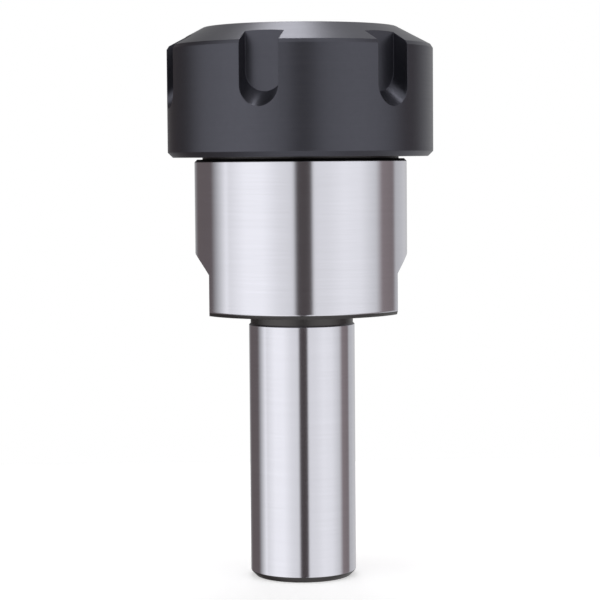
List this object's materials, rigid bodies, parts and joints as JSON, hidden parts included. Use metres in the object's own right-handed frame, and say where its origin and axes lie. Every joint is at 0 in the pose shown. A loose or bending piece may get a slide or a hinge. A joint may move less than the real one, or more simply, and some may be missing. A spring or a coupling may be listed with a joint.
{
  "type": "collet chuck holder",
  "caption": "Straight-shank collet chuck: a ground shank and head, a tapered spring collet and a slotted clamping nut that closes it on a round tool.",
  "frame": {"origin": "centre of the shank's end face, on the turning axis, at the lowest point of the part", "axes": "+Z along the turning axis from the shank to the clamping nut; X is square to the two spanner flats"},
  "size_m": [0.05, 0.05, 0.1036],
  "materials": {
    "ground_steel": "hardened and finely ground",
    "spring_steel": "hardened, satin ground",
    "black_oxide": "turned steel with a semi-gloss black oxide",
    "screw_steel": "black oxide"
  },
  "bodies": {
    "holder": {"holder_body": "ground_steel"},
    "collet": {"spring_collet": "spring_steel"},
    "nut": {"clamping_nut": "black_oxide"},
    "stop": {"stop_screw": "screw_steel"}
  },
  "joints": [
    {"name": "collet_travel", "type": "slide", "parent": "holder", "child": "collet", "axis": [0, 0, 1], "range_m": [0, 0.01051]},
    {"name": "nut_turn", "type": "hinge", "parent": "collet", "child": "nut", "pos_m": [0, 0, 0.0915], "axis": [0, 0, 1], "range_deg": [0, 2520]},
    {"name": "stop_travel", "type": "slide", "parent": "holder", "child": "stop", "axis": [0, 0, 1], "range_m": [-0.0175, 0.01225]}
  ],
  "couplings": [
    {"joint": "collet_travel", "follows": "nut_turn", "m_per_rad": 0.00023873}
  ]
}
